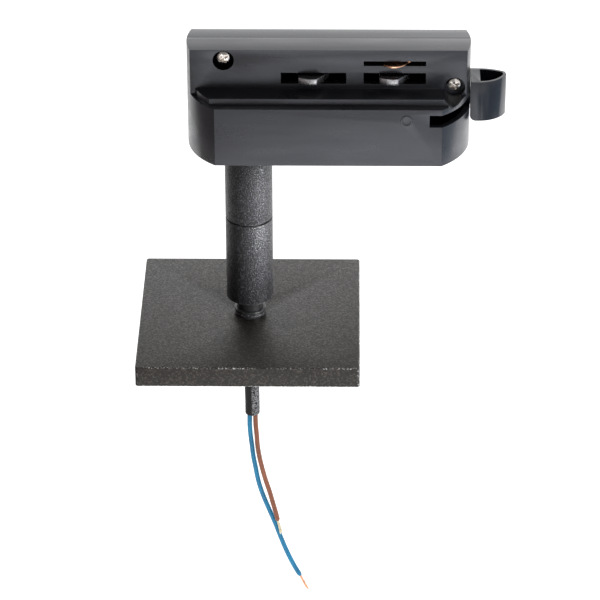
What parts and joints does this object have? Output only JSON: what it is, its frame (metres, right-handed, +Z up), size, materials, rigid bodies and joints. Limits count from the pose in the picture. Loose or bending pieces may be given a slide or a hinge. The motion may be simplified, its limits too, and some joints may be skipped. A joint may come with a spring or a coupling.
{
  "type": "single-circuit track adapter with swivel stem and fixture plate",
  "caption": "Lighting-track adapter with a locking lever, swivelling stem, tilting neck and square fixture plate, with a short two-core lead.",
  "frame": {"origin": "middle of the adapter, on the seating plane where the insert leaves the body and meets the track's underside", "axes": "+X along the track towards the lever, +Y to the rear, +Z up into the track"},
  "size_m": [0.131, 0.08, 0.2335],
  "materials": {
    "housing_plastic": "satin black moulded plastic",
    "lever_plastic": "smooth black moulded plastic",
    "rotor_plastic": "matt black moulded plastic",
    "cam_metal": "dark cast metal, polished along the edge",
    "copper": "bright copper",
    "tinned_copper": "tinned copper strands",
    "brass": "plain brass",
    "nickel_screw": "bright nickel plate",
    "zinc_steel": "zinc plated steel",
    "black_steel": "black oxide steel",
    "powder_coat": "fine-textured anthracite powder coat",
    "plate_coat": "sand-textured anthracite powder coat",
    "neck_metal": "black coated metal",
    "sheath": "grey-flecked braided black sheath",
    "blue_insulation": "smooth blue core insulation",
    "brown_insulation": "smooth brown core insulation"
  },
  "bodies": {
    "adapter": {"housing_front": "housing_plastic", "housing_rear": "housing_plastic", "housing_screws": "nickel_screw", "line_terminal": "brass", "neutral_terminal": "brass", "terminal_screws": "zinc_steel", "terminal_leads": "brown_insulation", "inner_brown_core": "brown_insulation", "inner_blue_core": "blue_insulation", "cable_upper": "sheath", "stem_nipple": "zinc_steel", "nipple_nut": "zinc_steel", "stem_upper_tube": "powder_coat", "stop_pin": "zinc_steel"},
    "lever": {"lever_rotor": "rotor_plastic", "lever_handle": "lever_plastic", "contact_carrier": "rotor_plastic", "right_lock_cam": "cam_metal", "line_contact": "copper", "neutral_contact": "copper", "rotor_leads": "brown_insulation"},
    "link": {"link_bar": "zinc_steel"},
    "left_rotor_body": {"left_rotor": "rotor_plastic", "left_lock_cam": "cam_metal", "cam_spacer": "rotor_plastic"},
    "lower_stem": {"stem_lower_tube": "powder_coat", "swivel_spindle": "zinc_steel", "swivel_washer": "zinc_steel", "swivel_nut": "zinc_steel", "pivot_screws": "black_steel", "friction_washers": "zinc_steel", "cable_middle": "sheath"},
    "plate": {"tilt_neck": "neck_metal", "neck_collar": "neck_metal", "fixture_plate": "plate_coat", "mounting_bar": "zinc_steel", "neck_nut": "zinc_steel", "lead_clamp": "lever_plastic", "cable_lower": "sheath", "lead_sheath": "sheath", "blue_lead": "blue_insulation", "brown_lead": "brown_insulation", "blue_tip": "copper", "brown_tip": "tinned_copper"}
  },
  "joints": [
    {"name": "lever_turn", "type": "hinge", "parent": "adapter", "child": "lever", "pos_m": [0.0231, 0, -0.0066], "axis": [0, 0, 1], "range_deg": [-52, 0]},
    {"name": "left_lock_turn", "type": "hinge", "parent": "adapter", "child": "left_rotor_body", "pos_m": [-0.0052, 0, -0.0066], "axis": [0, 0, 1], "range_deg": [-52, 0]},
    {"name": "link_swing", "type": "hinge", "parent": "lever", "child": "link", "pos_m": [0.02661, -0.00719, -0.0125], "axis": [0, 0, 1], "range_deg": [0, 52]},
    {"name": "stem_swivel", "type": "hinge", "parent": "adapter", "child": "lower_stem", "pos_m": [-0.0285, 0, -0.0548], "axis": [0, 0, 1], "range_deg": [-165, 165]},
    {"name": "plate_tilt", "type": "hinge", "parent": "lower_stem", "child": "plate", "pos_m": [-0.0285, 0, -0.0809], "axis": [1, 0, 0], "range_deg": [0, 90]}
  ],
  "couplings": [
    {"joint": "left_lock_turn", "follows": "lever_turn", "ratio": 1},
    {"joint": "link_swing", "follows": "lever_turn", "ratio": -1}
  ]
}
